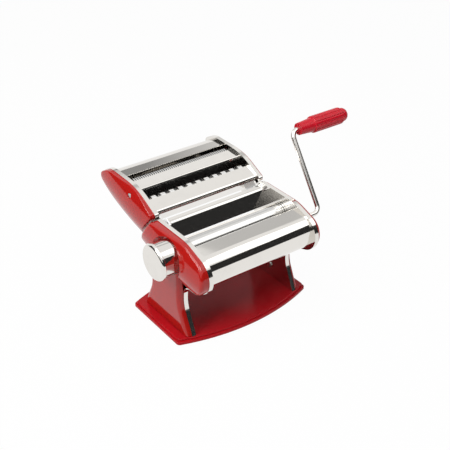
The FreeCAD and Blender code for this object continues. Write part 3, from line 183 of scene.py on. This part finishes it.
class Finish:
    """One node material, or the world's nodes."""

    def __init__(self, owner):
        self.owner = owner
        owner.use_nodes = True
        self.tree = owner.node_tree
        self.tree.nodes.clear()

    def node(self, kind, settings=None, inputs=None, out=0):
        """Adds a node, sets it up, feeds its sockets and gives back one of its outputs."""
        made = self.tree.nodes.new(kind)
        for name, value in (settings or {}).items():
            setattr(made, name, value)
        for name, value in (inputs or {}).items():
            socket = made.inputs[name]
            if isinstance(value, Wire):
                self.tree.links.new(value.socket, socket)
            else:
                socket.default_value = value
        return Wire(self, made.outputs[out])

    def place(self, scale=(1, 1, 1)):
        """Object coordinates in metres, stretched."""
        spot = self.node("ShaderNodeTexCoord", out="Object")
        return self.node("ShaderNodeMapping", {"vector_type": "POINT"}, {"Vector": spot, "Scale": scale})

    def noise(self, where, scale, detail=3.0, rough=0.5):
        return self.node("ShaderNodeTexNoise", {"noise_dimensions": "3D"},
                         {"Vector": where, "Scale": scale, "Detail": detail, "Roughness": rough}, out="Fac")

    def span(self, value, low, high):
        return self.node("ShaderNodeMapRange", {"clamp": True},
                         {"Value": value, "From Min": low, "From Max": high})

    def tint(self, first, second, amount):
        return self.node("ShaderNodeMix", {"data_type": "RGBA"},
                         {0: amount, 6: rgba(first), 7: rgba(second)}, out=2)

    def bump(self, height, strength, distance):
        return self.node("ShaderNodeBump", None,
                         {"Height": height, "Strength": strength, "Distance": distance})

    def seen(self):
        """One for rays that show the white room: from the camera or off gloss or glass, never off matt."""
        rays = self.node("ShaderNodeLightPath", out="Is Camera Ray")
        for way in ("Is Glossy Ray", "Is Transmission Ray"):
            rays = self.node("ShaderNodeMath", {"operation": "MAXIMUM"},
                             {0: rays, 1: self.node("ShaderNodeLightPath", out=way)})
        spread = self.node("ShaderNodeLightPath", out="Diffuse Depth")
        return rays * self.node("ShaderNodeMath", {"operation": "LESS_THAN"}, {0: spread, 1: 0.5})

    def surface(self, **inputs):
        """Ends the material in one Principled shader."""
        shader = self.node("ShaderNodeBsdfPrincipled", None,
                           {name.replace("_", " "): value for name, value in inputs.items()})
        self.node_out(shader)

    def node_out(self, shader):
        target = "World" if isinstance(self.owner, bpy.types.World) else "Material"
        end = self.tree.nodes.new(f"ShaderNodeOutput{target}")
        self.tree.links.new(shader.socket, end.inputs["Surface"])


def rgba(value):
    return value if isinstance(value, Wire) else (*tuple(value)[:3], 1.0)


def grey(tone):
    return tone, tone, tone, 1.0


def shaded(base, factor):
    """A colour made lighter or darker by a plain factor."""
    return tuple(min(1.0, part * factor) for part in base)


def new_material(name):
    return Finish(bpy.data.materials.new(name))


def coat(nodes, finish):
    """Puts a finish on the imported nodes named."""
    for name in nodes:
        data = frame["nodes"][name].data
        data.materials.clear()
        data.materials.append(finish.owner)


def finishes():
    return bpy.context.scene.pasta_finish


def chrome_finish(name, tone, rough, smear, wave):
    """Plated sheet: near-mirror, with faint handling marks and the slight wave of pressed metal."""
    metal = new_material(name)
    spot = metal.place()
    marks = metal.noise(spot, scale=38, detail=4, rough=0.62)
    fine = metal.noise(spot, scale=420, detail=2)
    haze = metal.span(marks, 0.48, 0.78)
    ripple = metal.noise(spot, scale=11, detail=1, rough=0.3)
    metal.surface(Base_Color=metal.tint(tone, shaded(tone, 0.955), haze), Metallic=1.0,
                  Roughness=rough + haze * smear + fine * (smear * 0.25),
                  Normal=metal.bump(ripple, wave, distance=0.002))
    return metal


def ground_finish(name, tone, rough, lines):
    """Turned steel: fine rings round the X axis, and a little unevenness along it."""
    metal = new_material(name)
    rings = metal.noise(metal.place(RING_STRETCH), scale=lines, detail=4, rough=0.7)
    bands = metal.noise(metal.place((1, 0.15, 0.15)), scale=26, detail=2)
    metal.surface(Base_Color=metal.tint(shaded(tone, 0.9), tone, rings), Metallic=1.0,
                  Roughness=rough + bands * 0.08 + rings * 0.05,
                  Normal=metal.bump(rings, strength=0.08, distance=0.0002))
    return metal


def cutter_finish(name, box, tone, groove_shade):
    """Turned steel with bright lands, and painted shade that darkens the grooves between them."""
    metal = new_material(name)
    (_, near, under), (_, far, top) = box
    spot = metal.node("ShaderNodeTexCoord", out="Object")
    along = metal.node("ShaderNodeSeparateXYZ", None, {0: spot}, out="Y") - (near + far) / 2
    up = metal.node("ShaderNodeSeparateXYZ", None, {0: spot}, out="Z") - (under + top) / 2
    reach = (top - under) / 2
    # Mask by radius: 0 on the groove floors, which take the painted shade, 1 on the lands.
    land = metal.span((along * along + up * up) ** 0.5, reach * LAND_START, reach * LAND_FULL)
    rings = metal.noise(metal.place(RING_STRETCH), scale=2400, detail=4, rough=0.7)
    metal.surface(Base_Color=metal.tint(groove_shade, metal.tint(shaded(tone, 0.9), tone, rings), land),
                  Metallic=1.0, Roughness=0.34 - land * 0.16 + rings * 0.05,
                  Normal=metal.bump(rings, strength=0.08, distance=0.0002))
    return metal


def lacquer_finish(name, tone, peel, rough, index):
    """Red lacquer or enamel: faint ripple, a little dust, a slight drift of the red."""
    paint = new_material(name)
    spot = paint.place()
    drift = paint.noise(spot, scale=9, detail=2)
    ripple = paint.noise(spot, scale=620, detail=2, rough=0.4)
    dust = paint.span(paint.noise(spot, scale=75, detail=4, rough=0.6), 0.55, 0.8)
    paint.surface(Base_Color=paint.tint(shaded(tone, 0.92), shaded(tone, 1.06), drift),
                  Roughness=rough + dust * 0.06, IOR=index,
                  Normal=paint.bump(ripple, peel, distance=0.0006))
    return paint


def moulded_finish(name, tone, rough, grain, depth, index=1.48):
    """Moulded plastic or rubber: fine grain and a satin that varies a little."""
    plastic = new_material(name)
    spot = plastic.place()
    grains = plastic.noise(spot, scale=grain, detail=3, rough=0.55)
    patches = plastic.noise(spot, scale=60, detail=3)
    plastic.surface(Base_Color=plastic.tint(shaded(tone, 0.88), shaded(tone, 1.1), patches),
                    Roughness=rough + patches * 0.1, IOR=index,
                    Normal=plastic.bump(grains, depth, distance=0.0004))
    return plastic


class PASTA_OT_chrome_sheets(bpy.types.Operator):
    """Plates the side plates, covers and head sheets with chrome"""
    bl_idname = "pasta.chrome_sheets"
    bl_label = "Chrome sheets"

    def execute(self, context):
        look = finishes()
        plates = chrome_finish("chrome_plates", look.chrome, rough=0.10, smear=look.smear, wave=0.05)
        coat(("left_side_plate", "right_side_plate", "head_left_plate", "head_right_plate"), plates)
        sheets = chrome_finish("chrome_sheets", look.chrome, rough=0.045, smear=look.smear, wave=0.06)
        coat(("front_cover", "feed_plate",
              "head_rear_sheet", "head_middle_sheet", "head_front_sheet"), sheets)
        return {"FINISHED"}


class PASTA_OT_side_covers(bpy.types.Operator):
    """Lacquers the side covers and the head's caps"""
    bl_idname = "pasta.side_covers"
    bl_label = "Side covers and caps"

    def execute(self, context):
        look = finishes()
        coat(("left_side_cover", "right_side_cover", "head_left_cap", "head_right_cap"),
             lacquer_finish("gloss_red", look.gloss_red, look.peel, rough=0.09, index=1.5))
        return {"FINISHED"}


class PASTA_OT_base(bpy.types.Operator):
    """Enamels the base and blackens its feet"""
    bl_idname = "pasta.base"
    bl_label = "Base and feet"

    def execute(self, context):
        look = finishes()
        coat(("base_plate",),
             lacquer_finish("base_red", look.base_red, look.peel * 3, rough=0.20, index=1.24))
        coat(("rubber_feet",), moulded_finish("rubber", look.rubber, rough=0.7, grain=900, depth=0.25))
        return {"FINISHED"}


class PASTA_OT_rollers(bpy.types.Operator):
    """Gives the dough rollers their ground steel"""
    bl_idname = "pasta.rollers"
    bl_label = "Dough rollers"

    def execute(self, context):
        coat(("front_roller", "rear_roller"),
             ground_finish("roller_steel", finishes().steel, rough=0.10, lines=900))
        return {"FINISHED"}


class PASTA_OT_cutters(bpy.types.Operator):
    """Gives the cutters and their combs turned steel"""
    bl_idname = "pasta.cutters"
    bl_label = "Cutters and combs"

    def execute(self, context):
        look = finishes()
        combs = ground_finish("comb_steel", look.steel, rough=0.14, lines=2400)
        for kind in ("fine", "wide"):
            for end in ("front", "rear"):
                cutter = f"{kind}_{end}_cutter"
                coat((cutter,), cutter_finish(f"{cutter}_steel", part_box(cutter), look.land, look.groove_shade))
                coat((f"{kind}_{end}_comb",), combs)
        return {"FINISHED"}


class PASTA_OT_crank(bpy.types.Operator):
    """Plates the crank's rod and moulds its grip"""
    bl_idname = "pasta.crank"
    bl_label = "Crank and grip"

    def execute(self, context):
        look = finishes()
        rod = shaded(look.chrome, 0.97)
        coat(("crank_rod",), chrome_finish("chrome_rod", rod, rough=0.17, smear=look.smear, wave=0.03))
        coat(("crank_grip", "grip_end_cap"),
             moulded_finish("grip_red", look.grip_red, rough=0.17, grain=1300, depth=0.05, index=1.34))
        return {"FINISHED"}


class PASTA_OT_knob(bpy.types.Operator):
    """Plates the thickness knob"""
    bl_idname = "pasta.knob"
    bl_label = "Thickness knob"

    def execute(self, context):
        look = finishes()
        coat(("knob_cap",),
             chrome_finish("chrome_knob_face", look.chrome, rough=0.09, smear=look.smear, wave=0.05))
        barrel = shaded(look.chrome, 0.96)
        coat(("knob_hub",),
             chrome_finish("chrome_knob_barrel", barrel, rough=0.06, smear=look.smear, wave=0.02))
        return {"FINISHED"}


class PASTA_OT_knob_spring(bpy.types.Operator):
    """Winds the spring inside the knob"""
    bl_idname = "pasta.knob_spring"
    bl_label = "Knob spring"

    def execute(self, context):
        look = context.scene.pasta_spring
        low, high = (Vector(corner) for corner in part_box("knob_spring"))
        mesh = bpy.data.meshes.new("knob_spring_coil")
        mesh.from_pydata(*self.coil(low, high, look.wire / 2, look.turns))
        mesh.polygons.foreach_set("use_smooth", [True] * len(mesh.polygons))
        steel = ground_finish("spring_steel", finishes().zinc, rough=0.22, lines=1500)
        mesh.materials.append(steel.owner)
        coil = bpy.data.objects.new("knob_spring_coil", mesh)
        context.scene.collection.objects.link(coil)
        travel = next(joint for joint in frame["joints"] if joint["name"] == "knob_pull")["range_m"][1]
        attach(coil, "knob")
        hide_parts("knob_spring")
        1 - travel / (high.x - low.x)
        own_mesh(coil)
        return {"FINISHED"}

    def coil(self, low, high, thick, turns):
        """Round wire wound about the X axis, with its end turns drawn flat."""
        centre = (low + high) / 2
        radius, room = high.z - centre.z - thick, high.x - low.x - 2 * thick
        steps, sides = round(turns * COIL_STEPS), WIRE_SIDES
        spots = []
        for step in range(steps + 1):
            way = step / steps
            turn = math.tau * turns * way
            along = low.x + thick + room * (way - math.sin(math.tau * way) / math.tau)
            for side in range(sides):
                angle = math.tau * side / sides
                out = radius + thick * math.cos(angle)
                spots.append((along + thick * math.sin(angle),
                              centre.y + out * math.cos(turn), centre.z + out * math.sin(turn)))
        faces = [tuple(range(sides)), tuple(reversed(range(steps * sides, (steps + 1) * sides)))]
        for row in range(0, steps * sides, sides):
            for side in range(sides):
                after = (side + 1) % sides
                faces.append((row + side, row + sides + side, row + sides + after, row + after))
        return spots, [], faces


class PASTA_OT_fixings(bpy.types.Operator):
    """Finishes the screws, rods, blades, shaft, gears and bushes"""
    bl_idname = "pasta.fixings"
    bl_label = "Fixings and gears"

    def execute(self, context):
        look = finishes()
        coat(("tie_rods", "head_tie_rods", "eccentric_shaft", "front_scraper", "rear_scraper",
              "index_plate", "detent_pin", "base_screws", "cover_screws", "cap_screws",
              "head_guides", "head_hooks"),
             ground_finish("zinc", look.zinc, rough=0.22, lines=1500))
        gears = [f"{kind}_{end}_gear" for kind in ("fine", "wide") for end in ("front", "rear")]
        coat(("front_gear", "rear_gear", *gears),
             ground_finish("gear_steel", look.gear, rough=0.3, lines=1200))
        # Painted shade: the partition's near-black darkens the inside of the cutter head.
        coat(("head_partition",),
             moulded_finish("partition_shade_sheet", look.partition_shade, rough=0.4, grain=500, depth=0.05))
        coat(("roller_bushes", "floating_bushes", "head_bushes"),
             moulded_finish("nylon", look.nylon, rough=0.45, grain=800, depth=0.15))
        return {"FINISHED"}


class PASTA_OT_stage(bpy.types.Operator):
    """Sets the camera, the white floor, the lamps and the dark room that the chrome mirrors"""
    bl_idname = "pasta.stage"
    bl_label = "Stage"

    def execute(self, context):
        scene, look = context.scene, context.scene.pasta_stage
        scene.view_settings.view_transform = "Standard"
        self.camera(scene, look)
        self.floor(look)
        self.world(scene, look)
        self.lamps(scene)
        room = new_material("room")
        room.surface(Base_Color=grey(look.room), Roughness=1.0)
        self.surround("room", room, look.wall, ROOM_EDGE)
        self.surround("grey_card", self.faded("grey_card", look.card, look.wall), look.wall, CARD_EDGE)
        self.surround("screen", self.faded("screen", look.screen, look.wall), look.wall, SCREEN_EDGE)
        self.surround("back_flag", room, look.wall * FLAG_REACH, FLAG_EDGE).visible_glossy = False
        return {"FINISHED"}

    def camera(self, scene, look):
        data = bpy.data.cameras.new("camera")
        data.sensor_fit = "HORIZONTAL"
        data.sensor_width = SENSOR_WIDTH
        data.lens = look.lens
        data.clip_start = 0.05
        data.clip_end = 60
        camera = bpy.data.objects.new("camera", data)
        scene.collection.objects.link(camera)
        level = math.cos(look.rise)
        back = Vector((-math.sin(look.turn) * level, -math.cos(look.turn) * level, math.sin(look.rise)))
        camera.location = Vector(look.aim) + back * look.distance
        camera.rotation_euler = (-back).to_track_quat("-Z", "Y").to_euler()
        scene.camera = camera

    def floor(self, look):
        half = look.floor
        mesh = bpy.data.meshes.new("floor")
        corners = [(-half, -half, 0), (half, -half, 0), (half, half, 0), (-half, half, 0)]
        mesh.from_pydata(corners, [], [(0, 1, 2, 3)])
        floor = bpy.data.objects.new("floor", mesh)
        bpy.context.scene.collection.objects.link(floor)
        paper = new_material("floor_paper")
        lit = paper.node("ShaderNodeBsdfDiffuse", None, {"Color": grey(look.paper)})
        white = paper.node("ShaderNodeEmission", None, {"Color": grey(1), "Strength": 1.0})
        paper.node_out(paper.node("ShaderNodeMixShader", None,
                                  {0: paper.seen() * look.white, 1: lit, 2: white}))
        mesh.materials.append(paper.owner)

    def world(self, scene, look):
        scene.world = bpy.data.worlds.new("studio")
        sky = Finish(scene.world)
        plain = sky.node("ShaderNodeBackground", None, {"Color": grey(1), "Strength": look.ambient})
        white = sky.node("ShaderNodeBackground", None, {"Color": grey(1), "Strength": 1.0})
        sky.node_out(sky.node("ShaderNodeMixShader", None, {0: sky.seen(), 1: plain, 2: white}))

    def lamps(self, scene):
        for name, spot, width, power in LAMPS:
            data = bpy.data.lights.new(name, "AREA")
            data.shape = "SQUARE"
            data.size = width
            data.energy = power
            lamp = bpy.data.objects.new(name, data)
            lamp.location = spot
            lamp.rotation_euler = (Vector(LAMP_AIM) - Vector(spot)).to_track_quat("-Z", "Y").to_euler()
            scene.collection.objects.link(lamp)

    def faded(self, name, tone, reach):
        """Grey that fades to white towards the machine's right."""
        paper = new_material(name)
        across = paper.node("ShaderNodeSeparateXYZ", None, {0: paper.place()}, out="X")
        dark, light = (reach * math.cos(math.radians(turn)) for turn in FADES[name])
        shade = paper.tint(grey(tone), grey(1), paper.span(across, dark, light))
        paper.node_out(paper.node("ShaderNodeEmission", None, {"Color": shade, "Strength": 1.0}))
        return paper

    def surround(self, name, paper, reach, edge):
        """Part of a wall round the machine that only its gloss and its shade show."""
        spots = []
        for start, end in zip(edge, edge[1:]):
            steps = round(end[0] - start[0])
            for step in range(steps + 1):
                turn, low, high = (math.radians(a + (b - a) * step / steps) for a, b in zip(start, end))
                spots += [(reach * math.cos(turn), reach * math.sin(turn), reach * math.tan(level))
                          for level in (low, high)]
        faces = [(row, row + 2, row + 3, row + 1) for row in range(0, len(spots) - 2, 2)]
        mesh = bpy.data.meshes.new(name)
        mesh.from_pydata(spots, [], faces)
        mesh.materials.append(paper.owner)
        wall = bpy.data.objects.new(name, mesh)
        wall.visible_camera = False
        bpy.context.scene.collection.objects.link(wall)
        return wall


PIECES = (PASTA_OT_chrome_sheets, PASTA_OT_side_covers, PASTA_OT_base, PASTA_OT_rollers, PASTA_OT_cutters,
          PASTA_OT_crank, PASTA_OT_knob, PASTA_OT_knob_spring, PASTA_OT_fixings, PASTA_OT_stage)


class PASTA_PT_panel(bpy.types.Panel):
    """Sidebar panel with one button for each group of pieces"""
    bl_idname = "PASTA_PT_panel"
    bl_label = "Pasta machine"
    bl_space_type = "VIEW_3D"
    bl_region_type = "UI"
    bl_category = "Pasta machine"

    def draw(self, context):
        for group in (context.scene.pasta_finish, context.scene.pasta_spring, context.scene.pasta_stage):
            box = self.layout.box()
            for name in group.__annotations__:
                box.prop(group, name)
        for piece in PIECES:
            self.layout.operator(piece.bl_idname)


CLASSES = (PastaFinish, PastaSpring, PastaStage, *PIECES, PASTA_PT_panel)


def register():
    for kind in CLASSES:
        bpy.utils.register_class(kind)
    bpy.types.Scene.pasta_finish = PointerProperty(type=PastaFinish)
    bpy.types.Scene.pasta_spring = PointerProperty(type=PastaSpring)
    bpy.types.Scene.pasta_stage = PointerProperty(type=PastaStage)


def unregister():
    del bpy.types.Scene.pasta_stage
    del bpy.types.Scene.pasta_spring
    del bpy.types.Scene.pasta_finish
    for kind in reversed(CLASSES):
        bpy.utils.unregister_class(kind)


def main():
    register()
    for piece in PIECES:
        group, name = piece.bl_idname.split(".")
        getattr(getattr(bpy.ops, group), name)()


if __name__ == "__main__":
    main()
